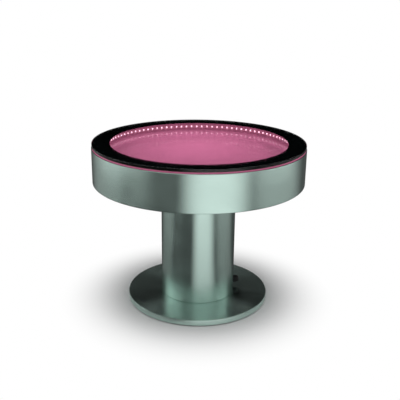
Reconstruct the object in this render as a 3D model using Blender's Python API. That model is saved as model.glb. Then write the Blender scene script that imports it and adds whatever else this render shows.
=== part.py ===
"""Round light-up table: a glass lid over a lit well in a steel drum, on a column and a weighted base.

Metres, +Z up. The origin is on the floor under the middle of the table, and the front is -Y.
The glass lid lifts straight up off its seal. Every other piece is fixed.
"""
import math

import bmesh
import bpy
from mathutils import Vector

# Fits
seat_gap = 0.0003            # left between two pieces that touch
hole_clearance = 0.0005      # round a bolt, screw or lead in its hole, on the radius
cut_overrun = 0.002          # how far a cutter runs past the faces it cuts
weld_distance = 0.00001      # vertices closer than this are one

# Overall
table_height = 0.474
round_sides = 80             # facets round a large piece that shows
hidden_sides = 48            # round a large piece inside
small_sides = 24
hole_sides = 12              # round a bolt's or a screw's hole
bolt_sides = 12
screw_sides = 10
corner_steps = 2

# Glass lid, with a black band fired on its underside
glass_radius = 0.300
glass_thickness = 0.008
glass_arris = 0.0012
border_inset = 0.0015        # glass edge to the band
border_width = 0.0485
border_thickness = 0.0003

# Clear seal that the glass lies on
seal_inset = 0.0022          # drum face to the seal's outer face
seal_width = 0.012
seal_thickness = 0.001

# Opal tray, hung in the drum by its flange
tray_wall = 0.002
flange_inset = 0.0018        # drum face to the flange's edge
band_overhang = 0.015        # how far the band reaches in over the tray
well_depth = 0.0235          # glass underside to the tray's floor
well_corner = 0.002

# Light strip round the tray's wall
strip_thickness = 0.001
strip_width = 0.010
strip_bond = 0.0005          # adhesive between the strip and the wall
strip_opening = 0.006        # between the strip's two ends, at the front
led_pitch = 0.0165
led_width = 0.005
led_rise = 0.0016            # how far a lamp stands off the strip
led_centre_height = 0.0105   # lamp above the tray's floor

# Drum: one rolled steel band with a lip turned in at each end
drum_height = 0.1008
drum_margin = 0.0012         # glass edge to the drum's face
drum_sheet = 0.0015
drum_corner = 0.003
top_lip_width = 0.022
bottom_lip_width = 0.020

# Floor of the drum, screwed down on the bottom lip
pan_thickness = 0.002
pan_screw_count = 6
pan_screw_edge = 0.010       # screw to the lip's free edge
pan_screw_overhang = 0.0015  # screw tip below the lip

# Column: a steel tube with an end plate welded in at each end
column_radius = 0.1075
column_wall = 0.0015
end_plate_thickness = 0.004
end_plate_clearance = 0.0003
bolt_circle_inset = 0.027    # tube's inner face to a bolt's centre
bolt_count = 4

# Base: a spun steel cover over a cast weight
base_radius = 0.2065
base_height = 0.019
base_sheet = 0.0015
base_corner = 0.002
base_rim_clearance = 0.003   # cover's rim above the floor
weight_clearance = 0.0012
weight_chamfer = 0.002
counterbore_radius = 0.010
counterbore_depth = 0.0065

# Rubber pads under the weight
pad_count = 6
pad_radius = 0.014
pad_thickness = 0.004
pad_chamfer = 0.0008
pad_edge_inset = 0.022       # weight's edge to a pad's centre

# Hexagon bolts and their weld nuts
bolt_radius = 0.004
bolt_across_flats = 0.013
bolt_head_height = 0.0053
bolt_tip_chamfer = 0.0006
bolt_tip_overhang = 0.0015   # tip past the weld nut
weld_nut_height = 0.0065
weld_nut_sink = 0.0005       # how far a weld nut is fused into its plate

# Pan-head screws
screw_radius = 0.0019
screw_head_radius = 0.0038
screw_head_height = 0.0024

# Cord gland low on the column, at its right and a little to the rear
gland_azimuth = math.radians(10)
gland_height = 0.039
gland_bore_radius = 0.004
gland_thread_radius = 0.0076
gland_collar_flats = 0.021
gland_collar_height = 0.005
gland_shank_length = 0.010   # collar's face to the shank's inner end
gland_stub_length = 0.007
gland_dome_length = 0.0125
gland_dome_base_radius = 0.0100
gland_dome_mouth_radius = 0.0062
lock_nut_flats = 0.020
lock_nut_height = 0.004
lock_nut_seat = 0.0012       # clears the curve of the tube's inner face

# Grommet that carries the supply lead through the drum's floor
grommet_collar = 0.003
grommet_collar_height = 0.002
grommet_neck = 0.002

# Leads inside the table
supply_lead_radius = 0.0035
low_voltage_lead_radius = 0.0025
strip_lead_radius = 0.0016
supply_lead_bend = 0.040      # corner of a lead's route to where its bend starts
low_voltage_lead_bend = 0.030
strip_lead_bend = 0.010
lead_start_depth = 0.006     # supply lead's end inside the gland's mouth
lead_point_spacing = 2.4     # diameters between a lead's points

# Power supply, behind the column on the drum's floor
supply_length = 0.150
supply_width = 0.045
supply_height = 0.030
supply_offset = 0.180        # table's axis to the supply's middle

# Light controller, to the left of the column on the drum's floor
controller_length = 0.080
controller_width = 0.034
controller_height = 0.020
controller_offset = 0.180
controller_shift = -0.030    # towards the front

# Fixing ears of both boxes
ear_length = 0.012
ear_thickness = 0.002
box_corner = 0.003

# Heights that follow from the stack of pieces, from the top down
glass_bottom = table_height - glass_thickness
border_bottom = glass_bottom - seat_gap - border_thickness
seal_bottom = border_bottom - seat_gap - seal_thickness
flange_bottom = seal_bottom - seat_gap - tray_wall
drum_top = flange_bottom - seat_gap
well_floor = glass_bottom - well_depth
tray_bottom = well_floor - tray_wall
drum_bottom = drum_top - drum_height
pan_bottom = drum_bottom + drum_sheet + seat_gap
pan_top = pan_bottom + pan_thickness

# Heights that follow from the base up
column_bottom = base_height + seat_gap
column_top = pan_bottom - seat_gap
weight_bottom = pad_thickness + seat_gap
weight_top = base_height - base_sheet - seat_gap

# Radii that follow
drum_radius = glass_radius + drum_margin
window_radius = glass_radius - border_inset - border_width
well_radius = window_radius + band_overhang
tray_outer_radius = well_radius + tray_wall
strip_radius = well_radius - strip_bond
strip_feed_azimuth = -math.pi / 2 + 1.5 * strip_opening / strip_radius
column_inner_radius = column_radius - column_wall
end_plate_radius = column_inner_radius - end_plate_clearance
bolt_circle_radius = column_inner_radius - bolt_circle_inset
bolt_hole_radius = bolt_radius + hole_clearance
screw_hole_radius = screw_radius + hole_clearance
pan_radius = drum_radius - drum_corner - seat_gap
pan_screw_circle = drum_radius - bottom_lip_width + pan_screw_edge
weight_radius = base_radius - base_sheet - weight_clearance
grommet_bore_radius = supply_lead_radius + hole_clearance
grommet_neck_radius = grommet_bore_radius + grommet_neck
grommet_collar_radius = grommet_neck_radius + grommet_collar
gland_shank_end = column_radius + seat_gap - gland_shank_length
riser_distance = gland_shank_end - supply_lead_bend - 2 * supply_lead_radius

# Corner radius of a hexagon that is 1 across its flats
hexagon_corner_share = 1 / math.sqrt(3)


def polar(radius, azimuth, height):
    """Point at a distance from the table's axis, in the direction of an azimuth from +X."""
    return Vector((radius * math.cos(azimuth), radius * math.sin(azimuth), height))


def around(count, start=0.0):
    """Azimuths of a ring of equal steps."""
    return [start + math.tau * step / count for step in range(count)]


def arc(centre_radius, centre_height, radius, start_degrees, end_degrees, steps=corner_steps):
    """Outline points along a round corner, from one angle to another."""
    points = []
    for step in range(steps + 1):
        angle = math.radians(start_degrees + (end_degrees - start_degrees) * step / steps)
        points.append((centre_radius + radius * math.cos(angle), centre_height + radius * math.sin(angle)))
    return points


def plain_material(name, hex_colour, roughness, metallic=0.0, transmission=0.0, glow=0.0):
    """Principled material from an sRGB hex colour."""
    channels = [int(hex_colour[start:start + 2], 16) / 255 for start in (0, 2, 4)]
    linear = [c / 12.92 if c <= 0.04045 else ((c + 0.055) / 1.055) ** 2.4 for c in channels]
    material = bpy.data.materials.new(name)
    material.use_nodes = True
    shader = material.node_tree.nodes["Principled BSDF"]
    shader.inputs["Base Color"].default_value = (*linear, 1.0)
    shader.inputs["Roughness"].default_value = roughness
    shader.inputs["Metallic"].default_value = metallic
    shader.inputs["Transmission Weight"].default_value = transmission
    shader.inputs["Emission Color"].default_value = (*linear, 1.0)
    shader.inputs["Emission Strength"].default_value = glow
    material.diffuse_color = (*linear, 1.0)
    return material


def finished_mesh(bm, name):
    """Write a bmesh to a mesh that is shaded smooth except at its sharp edges."""
    bmesh.ops.remove_doubles(bm, verts=bm.verts, dist=weld_distance)
    bmesh.ops.recalc_face_normals(bm, faces=bm.faces)
    mesh = bpy.data.meshes.new(name)
    bm.to_mesh(mesh)
    bm.free()
    mesh.shade_smooth()
    mesh.set_sharp_from_angle(angle=math.radians(35))
    return mesh


def add_piece(name, mesh, material, location=(0, 0, 0), rotation=(0, 0, 0), parent=None):
    """Put a mesh in the scene as a named piece with its own material."""
    piece = bpy.data.objects.new(name, mesh)
    if not mesh.materials:
        mesh.materials.append(material)
    piece.location = location
    piece.rotation_euler = rotation
    piece.parent = parent
    bpy.context.collection.objects.link(piece)
    return piece


def spun(outline, sides):
    """Spin an outline of (radius, height) points once round Z.

    An outline off the axis is a closed section. One that starts and ends on the axis is capped flat there.
    """
    bm = bmesh.new()
    points = [bm.verts.new((radius, 0, height)) for radius, height in outline if radius > 0]
    edges = [bm.edges.new(pair) for pair in zip(points, points[1:])]
    if len(points) == len(outline):
        edges.append(bm.edges.new((points[-1], points[0])))
    bmesh.ops.spin(bm, geom=points + edges, cent=(0, 0, 0), axis=(0, 0, 1), angle=math.tau,
                   steps=sides, use_merge=True)
    bmesh.ops.holes_fill(bm, edges=[edge for edge in bm.edges if edge.is_boundary])
    return bm


def turned_mesh(name, outline, sides=round_sides):
    return finished_mesh(spun(outline, sides), name)


def hexagon_mesh(name, outline, across_flats, sides=small_sides):
    """Spin an outline, then draw the points at the hexagon's corner radius in to its six flats."""
    corner_radius = across_flats * hexagon_corner_share
    bm = spun(outline, sides)
    for vertex in bm.verts:
        radius = math.hypot(vertex.co.x, vertex.co.y)
        if abs(radius - corner_radius) < weld_distance:
            turn = math.atan2(vertex.co.y, vertex.co.x) % (math.pi / 3) - math.pi / 6
            drawn_in = across_flats / 2 / math.cos(turn) / radius
            vertex.co.x *= drawn_in
            vertex.co.y *= drawn_in
    return finished_mesh(bm, name)


def add_cutter(name, shapes, sides=hole_sides):
    """Hidden object of separate cylinders, each given by its centre, radius, length and direction."""
    bm = bmesh.new()
    for centre, radius, length, direction in shapes:
        turn = direction.to_track_quat("Z", "Y").to_matrix().to_4x4()
        turn.translation = centre
        bmesh.ops.create_cone(bm, cap_ends=True, segments=sides, radius1=radius, radius2=radius,
                              depth=length, matrix=turn)
    cutter = add_piece(name, finished_mesh(bm, name), None)
    cutter.hide_render = True
    cutter.display_type = "WIRE"
    return cutter


def upright_holes(places, radius, bottom, top):
    """Cylinders for a cutter, from one height to another at each (x, y) place, run past both ends."""
    length = top - bottom + 2 * cut_overrun
    return [(Vector((x, y, (top + bottom) / 2)), radius, length, Vector((0, 0, 1))) for x, y in places]


def combine(piece, tool, operation):
    modifier = piece.modifiers.new(tool.name, "BOOLEAN")
    modifier.operation = operation
    modifier.object = tool


def ring_places(radius, azimuths):
    return [tuple(polar(radius, azimuth, 0).xy) for azimuth in azimuths]


def pan_screw_places():
    return ring_places(pan_screw_circle, around(pan_screw_count, math.pi / 6))


def lead_points(corners, bend, radius):
    """Points along a lead, a few diameters apart, that turns smoothly at each corner of its route."""
    points = [corners[0]]

    def run_to(end):
        start = points[-1]
        steps = max(1, round((end - start).length / (2 * radius * lead_point_spacing)))
        points.extend(start.lerp(end, step / steps) for step in range(1, steps + 1))

    for before, corner, after in zip(corners, corners[1:], corners[2:]):
        start = corner + (before - corner).normalized() * bend
        end = corner + (after - corner).normalized() * bend
        run_to(start)
        steps = max(3, round(2 * bend / (2 * radius * lead_point_spacing)))
        for step in range(1, steps + 1):
            t = step / steps
            points.append(start.lerp(corner, t).lerp(corner.lerp(end, t), t))
    run_to(corners[-1])
    return points


def add_lead(name, corners, bend, radius, material):
    """Round lead with closed ends along a route that is given by its corners."""
    curve = bpy.data.curves.new(name, "CURVE")
    curve.dimensions = "3D"
    curve.bevel_depth = radius
    curve.bevel_resolution = 2
    curve.use_fill_caps = True
    points = lead_points(corners, bend, radius)
    spline = curve.splines.new("POLY")
    spline.points.add(len(points) - 1)
    for spline_point, point in zip(spline.points, points):
        spline_point.co = (*point, 1)
    curve.materials.append(material)
    lead = bpy.data.objects.new(name, curve)
    bpy.context.collection.objects.link(lead)
    return lead


def make_glass_lid():
    """Glass disc with its black band, both carried by one empty at the seal."""
    lid = bpy.data.objects.new("glass_lid_origin", None)
    lid.location = (0, 0, glass_bottom)
    bpy.context.collection.objects.link(lid)

    edge = glass_radius - glass_arris
    outline = [(0, 0), (edge, 0), (glass_radius, glass_arris),
               (glass_radius, glass_thickness - glass_arris), (edge, glass_thickness), (0, glass_thickness)]
    glass = plain_material("tempered glass", "DCEBE6", 0.03, transmission=0.9)
    add_piece("glass_top", turned_mesh("glass_top", outline), glass, parent=lid)

    outer = glass_radius - border_inset
    outline = [(window_radius, 0), (outer, 0), (outer, border_thickness),
               (window_radius, border_thickness)]
    black = plain_material("black ceramic ink", "0B0C0E", 0.25)
    add_piece("glass_border", turned_mesh("glass_border", outline), black,
              location=(0, 0, border_bottom - glass_bottom), parent=lid)


def make_seal():
    outer = drum_radius - seal_inset
    inner = outer - seal_width
    outline = [(inner, 0), (outer, 0), (outer, seal_thickness), (inner, seal_thickness)]
    clear = plain_material("clear silicone", "F0B9CC", 0.35, transmission=0.5)
    add_piece("glass_seal", turned_mesh("glass_seal", outline), clear, location=(0, 0, seal_bottom))


def make_tray():
    """Shallow opal tray with a flange; one hole lets the strip's lead through its wall."""
    flange_radius = drum_radius - flange_inset
    floor_top = tray_wall
    flange_top = flange_bottom + tray_wall - tray_bottom
    corner = arc(well_radius - well_corner, floor_top + well_corner, well_corner, 0, -90)
    outline = [(0, 0), (tray_outer_radius, 0), (tray_outer_radius, flange_top - tray_wall),
               (flange_radius, flange_top - tray_wall), (flange_radius, flange_top),
               (well_radius, flange_top), *corner, (0, floor_top)]
    opal = plain_material("opal acrylic", "E59CB8", 0.12, glow=0.4)
    tray = add_piece("diffuser_tray", turned_mesh("diffuser_tray", outline), opal,
                     location=(0, 0, tray_bottom))
    centre = polar(well_radius + tray_wall / 2, strip_feed_azimuth, well_floor + led_centre_height)
    hole = (centre, strip_lead_radius + hole_clearance, tray_wall + 2 * cut_overrun,
            polar(1, strip_feed_azimuth, 0))
    combine(tray, add_cutter("tray_lead_hole", [hole]), "DIFFERENCE")


def make_light_strip():
    """Flexible strip bonded round the tray's wall, open at the front, with a lamp at each pitch."""
    opening = strip_opening / strip_radius
    lamps = int((math.tau - opening) * strip_radius / led_pitch)
    cell = (math.tau - opening) / lamps
    lamp = led_width / strip_radius
    bottom = well_floor + led_centre_height - strip_width / 2
    lamp_bottom = (strip_width - led_width) / 2
    face = strip_radius - strip_thickness
    section = [(strip_radius, 0), (strip_radius, strip_width), (face, strip_width),
               (face, lamp_bottom + led_width), (face, lamp_bottom), (face, 0)]

    bm = bmesh.new()
    start = -math.pi / 2 + opening / 2
    points = [bm.verts.new(polar(radius, start, height)) for radius, height in section]
    edges = [bm.edges.new(pair) for pair in zip(points, points[1:] + points[:1])]
    first_edges = edges
    lamp_faces = []
    for turn in [(cell - lamp) / 2] + [lamp, cell - lamp] * (lamps - 1) + [lamp, (cell - lamp) / 2]:
        step = bmesh.ops.spin(bm, geom=edges, cent=(0, 0, 0), axis=(0, 0, 1), angle=turn, steps=1)
        edges = [item for item in step["geom_last"] if isinstance(item, bmesh.types.BMEdge)]
        if turn == lamp:
            new_faces = {found for edge in edges for found in edge.link_faces}
            lamp_faces += [found for found in new_faces if is_lamp_place(found, face, lamp_bottom)]
    for end in (first_edges, edges):
        bmesh.ops.contextual_create(bm, geom=end)
    bmesh.ops.recalc_face_normals(bm, faces=bm.faces)
    raised = bmesh.ops.extrude_discrete_faces(bm, faces=lamp_faces)["faces"]
    for top in raised:
        centre = top.calc_center_median()
        bmesh.ops.translate(bm, verts=top.verts, vec=-Vector((*centre.xy, 0)).normalized() * led_rise)
    glow = plain_material("pink lamps on a white strip", "FFB4D2", 0.5, glow=2.0)
    add_piece("led_strip", finished_mesh(bm, "led_strip"), glow, location=(0, 0, bottom))


def is_lamp_place(face, inner_radius, lamp_bottom):
    """True for the middle face of the strip's inner side."""
    centre = face.calc_center_median()
    on_inner_side = centre.xy.length < inner_radius
    return on_inner_side and lamp_bottom < centre.z < lamp_bottom + led_width


def make_drum():
    """Rolled band with round corners and a lip turned in at each end, drilled for the floor's screws."""
    inner_corner = drum_corner - drum_sheet
    centre = drum_radius - drum_corner
    low = drum_corner
    high = drum_height - drum_corner
    outline = [(drum_radius - bottom_lip_width, 0), *arc(centre, low, drum_corner, -90, 0),
               *arc(centre, high, drum_corner, 0, 90), (drum_radius - top_lip_width, drum_height),
               (drum_radius - top_lip_width, drum_height - drum_sheet),
               *arc(centre, high, inner_corner, 90, 0, steps=1),
               *arc(centre, low, inner_corner, 0, -90, steps=1),
               (drum_radius - bottom_lip_width, drum_sheet)]
    steel = plain_material("satin stainless steel", "C3CCC8", 0.3, metallic=1.0)
    shell = add_piece("drum_shell", turned_mesh("drum_shell", outline), steel,
                      location=(0, 0, drum_bottom))
    holes = upright_holes(pan_screw_places(), screw_hole_radius, drum_bottom, drum_bottom + drum_sheet)
    combine(shell, add_cutter("drum_screw_holes", holes), "DIFFERENCE")


def make_pan(box_screws):
    """Flat floor of the drum with its holes: column bolts, rim screws, box screws and the grommet."""
    outline = [(0, 0), (pan_radius, 0), (pan_radius, pan_thickness), (0, pan_thickness)]
    steel = plain_material("zinc-plated steel", "9EA3A6", 0.45, metallic=1.0)
    pan = add_piece("drum_floor", turned_mesh("drum_floor", outline, sides=hidden_sides), steel,
                    location=(0, 0, pan_bottom))
    holes = (upright_holes(pan_screw_places() + box_screws, screw_hole_radius, pan_bottom, pan_top)
             + upright_holes(bolt_places(), bolt_hole_radius, pan_bottom, pan_top))
    combine(pan, add_cutter("drum_floor_holes", holes), "DIFFERENCE")
    lead_hole = upright_holes([riser_place()], grommet_neck_radius + seat_gap, pan_bottom, pan_top)
    combine(pan, add_cutter("drum_floor_lead_hole", lead_hole, sides=small_sides), "DIFFERENCE")

    length = pan_thickness + seat_gap * 2 + drum_sheet + pan_screw_overhang
    screws = zinc_material("pan_screws")
    mesh = screw_mesh("pan_screw", length)
    for number, place in enumerate(pan_screw_places(), 1):
        add_piece(f"pan_screw_{number}", mesh, screws, location=(*place, pan_top + seat_gap - length))


def bolt_places():
    """Where the column's bolts stand, midway between the gland's quarter turns."""
    return ring_places(bolt_circle_radius, around(bolt_count, gland_azimuth + math.pi / bolt_count))


def riser_place():
    """Where the supply lead runs up the column."""
    return tuple(polar(riser_distance, gland_azimuth, 0).xy)


def zinc_material(name):
    return plain_material(f"zinc-plated {name}", "B9BDBF", 0.35, metallic=1.0)


def screw_mesh(name, length):
    """Pan-head screw, its tip at zero and its head above the length."""
    edge = screw_head_height / 2
    outline = [(0, 0), (screw_radius, 0), (screw_radius, length), (screw_head_radius, length),
               (screw_head_radius, length + edge), (screw_radius, length + screw_head_height),
               (0, length + screw_head_height)]
    return turned_mesh(name, outline, sides=screw_sides)


def bolt_mesh(name, length):
    """Hexagon bolt, its tip at zero and its head above the length."""
    corner = bolt_across_flats * hexagon_corner_share
    tip = bolt_radius - bolt_tip_chamfer
    outline = [(0, 0), (tip, 0), (bolt_radius, bolt_tip_chamfer), (bolt_radius, length),
               (corner, length), (corner, length + bolt_head_height), (0, length + bolt_head_height)]
    return hexagon_mesh(name, outline, bolt_across_flats, sides=bolt_sides)


def make_end_plate(name, bottom, nut_side):
    """Round plate welded in the column's end, with a weld nut over each bolt hole."""
    outline = [(0, 0), (end_plate_radius, 0), (end_plate_radius, end_plate_thickness),
               (0, end_plate_thickness)]
    steel = plain_material(f"mild steel {name}", "6F7478", 0.5, metallic=1.0)
    plate = add_piece(name, turned_mesh(name, outline, sides=hidden_sides), steel,
                      location=(0, 0, bottom))

    top = bottom + end_plate_thickness
    corner = bolt_across_flats * hexagon_corner_share
    if nut_side > 0:
        nut_low, nut_high = top - weld_nut_sink, top + weld_nut_height
    else:
        nut_low, nut_high = bottom - weld_nut_height, bottom + weld_nut_sink
    bm = bmesh.new()
    for place in bolt_places():
        found = bmesh.ops.create_cone(bm, cap_ends=True, segments=6, radius1=corner, radius2=corner,
                                      depth=nut_high - nut_low)
        bmesh.ops.translate(bm, verts=found["verts"], vec=(*place, (nut_high + nut_low) / 2))
    nuts = add_piece(f"{name}_weld_nuts", finished_mesh(bm, f"{name}_weld_nuts"), steel)
    nuts.hide_render = True
    nuts.display_type = "WIRE"
    combine(plate, nuts, "UNION")
    low, high = min(bottom, nut_low), max(top, nut_high)
    holes = upright_holes(bolt_places(), bolt_hole_radius, low, high)
    combine(plate, add_cutter(f"{name}_holes", holes), "DIFFERENCE")
    return plate


def make_column():
    """Tube with its two end plates; the gland's hole is drilled low at one side."""
    outline = [(column_inner_radius, 0), (column_radius, 0), (column_radius, column_top - column_bottom),
               (column_inner_radius, column_top - column_bottom)]
    steel = plain_material("satin stainless column", "C3CCC8", 0.3, metallic=1.0)
    tube = add_piece("column_tube", turned_mesh("column_tube", outline), steel,
                     location=(0, 0, column_bottom))
    centre = polar(column_radius - column_wall / 2, gland_azimuth, gland_height)
    hole = (centre, gland_thread_radius + hole_clearance, column_wall + 4 * cut_overrun,
            polar(1, gland_azimuth, 0))
    combine(tube, add_cutter("gland_hole", [hole], sides=small_sides), "DIFFERENCE")

    plate_bottom = column_top - end_plate_thickness
    top_plate = make_end_plate("column_top_plate", plate_bottom, -1)
    lead_hole = upright_holes([riser_place()], grommet_collar_radius + hole_clearance, plate_bottom,
                              column_top)
    combine(top_plate, add_cutter("top_plate_lead_hole", lead_hole, sides=small_sides), "DIFFERENCE")
    make_end_plate("column_bottom_plate", column_bottom, 1)


def make_column_bolts():
    """Bolts down through the drum's floor, and bolts up through the base, into the weld nuts."""
    zinc = zinc_material("bolts")
    length = pan_thickness + end_plate_thickness + weld_nut_height + 2 * seat_gap + bolt_tip_overhang
    upper = bolt_mesh("top_bolt", length)
    for number, place in enumerate(bolt_places(), 1):
        add_piece(f"top_bolt_{number}", upper, zinc, location=(*place, pan_top + seat_gap - length))

    seat = weight_bottom + counterbore_depth
    tip = column_bottom + end_plate_thickness + weld_nut_height + bolt_tip_overhang
    lower = bolt_mesh("base_bolt", tip - seat + seat_gap)
    for number, place in enumerate(bolt_places(), 1):
        add_piece(f"base_bolt_{number}", lower, zinc, location=(*place, tip), rotation=(math.pi, 0, 0))


def make_base():
    """Spun cover, the cast weight inside it, and the rubber pads that the table stands on."""
    height = base_height - base_rim_clearance
    centre = base_radius - base_corner
    inner_corner = base_corner - base_sheet
    outline = [(0, height), *reversed(arc(centre, height - base_corner, base_corner, 0, 90)),
               (base_radius, 0), (base_radius - base_sheet, 0),
               *arc(centre, height - base_corner, inner_corner, 0, 90, steps=1), (0, height - base_sheet)]
    steel = plain_material("satin stainless base", "B4BDB8", 0.28, metallic=1.0)
    cover = add_piece("base_cover", turned_mesh("base_cover", outline), steel,
                      location=(0, 0, base_rim_clearance))
    holes = upright_holes(bolt_places(), bolt_hole_radius, base_height - base_sheet, base_height)
    combine(cover, add_cutter("base_cover_holes", holes), "DIFFERENCE")

    thickness = weight_top - weight_bottom
    top_chamfer = base_corner
    outline = [(0, 0), (weight_radius - weight_chamfer, 0), (weight_radius, weight_chamfer),
               (weight_radius, thickness - top_chamfer), (weight_radius - top_chamfer, thickness),
               (0, thickness)]
    iron = plain_material("cast iron", "2E3032", 0.7, metallic=1.0)
    weight = add_piece("base_weight", turned_mesh("base_weight", outline, sides=hidden_sides), iron,
                       location=(0, 0, weight_bottom))
    seat = weight_bottom + counterbore_depth
    through = upright_holes(bolt_places(), bolt_hole_radius, weight_bottom, weight_top)
    combine(weight, add_cutter("base_weight_holes", through), "DIFFERENCE")
    wide = [(Vector((x, y, seat - counterbore_depth)), counterbore_radius, 2 * counterbore_depth,
             Vector((0, 0, 1))) for x, y in bolt_places()]
    combine(weight, add_cutter("base_weight_counterbores", wide, sides=small_sides), "DIFFERENCE")

    rubber = plain_material("black rubber", "1A1A1B", 0.85)
    outline = [(0, 0), (pad_radius - pad_chamfer, 0), (pad_radius, pad_chamfer),
               (pad_radius, pad_thickness), (0, pad_thickness)]
    pad = turned_mesh("floor_pad", outline, sides=small_sides)
    circle = weight_radius - pad_edge_inset
    for number, place in enumerate(ring_places(circle, around(pad_count, math.pi / 6)), 1):
        add_piece(f"floor_pad_{number}", pad, rubber, location=(*place, 0))


def make_gland():
    """Cord gland: hexagon collar and threaded shank, dome nut outside and lock nut inside."""
    origin = bpy.data.objects.new("gland_origin", None)
    origin.location = polar(column_radius + seat_gap, gland_azimuth, gland_height)
    origin.rotation_euler = (0, math.pi / 2, gland_azimuth)
    bpy.context.collection.objects.link(origin)
    nylon = plain_material("black nylon gland", "0E0E0F", 0.45)

    corner = gland_collar_flats * hexagon_corner_share
    top = gland_collar_height + gland_stub_length
    outline = [(gland_bore_radius, -gland_shank_length), (gland_thread_radius, -gland_shank_length),
               (gland_thread_radius, 0), (corner, 0), (corner, gland_collar_height),
               (gland_thread_radius, gland_collar_height), (gland_thread_radius, top),
               (gland_bore_radius, top)]
    add_piece("gland_body", hexagon_mesh("gland_body", outline, gland_collar_flats), nylon, parent=origin)

    clear = gland_thread_radius + hole_clearance
    socket = gland_stub_length + seat_gap
    outline = [(clear, 0), (gland_dome_base_radius, 0), (gland_dome_base_radius, socket),
               (gland_dome_mouth_radius, gland_dome_length), (gland_bore_radius, gland_dome_length),
               (gland_bore_radius, socket), (clear, socket)]
    add_piece("gland_dome_nut", turned_mesh("gland_dome_nut", outline, sides=small_sides), nylon,
              location=(0, 0, gland_collar_height + seat_gap), parent=origin)

    corner = lock_nut_flats * hexagon_corner_share
    outline = [(clear, 0), (corner, 0), (corner, lock_nut_height), (clear, lock_nut_height)]
    seat = -seat_gap - column_wall - lock_nut_seat
    add_piece("gland_lock_nut", hexagon_mesh("gland_lock_nut", outline, lock_nut_flats), nylon,
              location=(0, 0, seat - lock_nut_height), parent=origin)


def make_grommet():
    """Rubber grommet: a collar above the drum's floor, a neck through it and a collar below."""
    outline = [(grommet_bore_radius, 0), (grommet_collar_radius, 0),
               (grommet_collar_radius, grommet_collar_height), (grommet_neck_radius, grommet_collar_height),
               (grommet_neck_radius, grommet_collar_height + pan_thickness + 2 * seat_gap),
               (grommet_collar_radius, grommet_collar_height + pan_thickness + 2 * seat_gap),
               (grommet_collar_radius, 2 * grommet_collar_height + pan_thickness + 2 * seat_gap),
               (grommet_bore_radius, 2 * grommet_collar_height + pan_thickness + 2 * seat_gap)]
    rubber = plain_material("rubber grommet", "1A1A1B", 0.8)
    add_piece("lead_grommet", turned_mesh("lead_grommet", outline, sides=small_sides), rubber,
              location=(*riser_place(), pan_bottom - seat_gap - grommet_collar_height))


def box_on_pan(name, length, width, height, centre, turn, material):
    """Closed box on a foot plate whose two ears take a screw each; returns the screws' places."""
    half = length / 2
    bm = bmesh.new()
    bmesh.ops.create_cube(bm, size=1)
    bmesh.ops.scale(bm, verts=bm.verts, vec=(length + 2 * ear_length, width, ear_thickness))
    bmesh.ops.translate(bm, verts=bm.verts, vec=(0, 0, ear_thickness / 2))
    for x in (-half, half):
        bmesh.ops.bisect_plane(bm, geom=bm.verts[:] + bm.edges[:] + bm.faces[:], plane_co=(x, 0, 0),
                               plane_no=(1, 0, 0))
    middle = [face for face in bm.faces if face.normal.z > 0.5 and abs(face.calc_center_median().x) < half]
    raised = bmesh.ops.extrude_face_region(bm, geom=middle)["geom"]
    top = [item for item in raised if isinstance(item, bmesh.types.BMVert)]
    bmesh.ops.delete(bm, geom=middle, context="FACES_ONLY")
    bmesh.ops.translate(bm, verts=top, vec=(0, 0, height - ear_thickness))
    upper = [edge for edge in bm.edges if all(vertex in top for vertex in edge.verts)]
    bmesh.ops.bevel(bm, geom=upper, offset=box_corner, segments=2, affect="EDGES", profile=0.5)
    piece = add_piece(name, finished_mesh(bm, name), material, location=(*centre, pan_top + seat_gap),
                      rotation=(0, 0, turn))
    reach = half + ear_length / 2
    along = Vector((math.cos(turn), math.sin(turn)))
    places = [tuple(Vector(centre) + along * side * reach) for side in (-1, 1)]
    holes = upright_holes(places, screw_hole_radius, pan_top, pan_top + seat_gap + ear_thickness)
    combine(piece, add_cutter(f"{name}_holes", holes), "DIFFERENCE")
    return places


def make_boxes():
    """Power supply and light controller, screwed to the drum's floor through their ears."""
    aluminium = plain_material("aluminium supply case", "AEB2B4", 0.4, metallic=1.0)
    supply = box_on_pan("power_supply", supply_length, supply_width, supply_height,
                        (0, supply_offset), 0.0, aluminium)
    plastic = plain_material("white ABS controller case", "E4E4E0", 0.5)
    controller = box_on_pan("light_controller", controller_length, controller_width, controller_height,
                            (-controller_offset, controller_shift), math.pi / 2, plastic)

    length = 2 * seat_gap + ear_thickness + pan_thickness + pan_screw_overhang
    mesh = screw_mesh("box_screw", length)
    zinc = zinc_material("box screws")
    top = pan_top + 2 * seat_gap + ear_thickness
    for name, places in (("supply_screw", supply), ("controller_screw", controller)):
        for number, place in enumerate(places, 1):
            add_piece(f"{name}_{number}", mesh, zinc, location=(*place, top - length))
    return supply + controller


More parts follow.
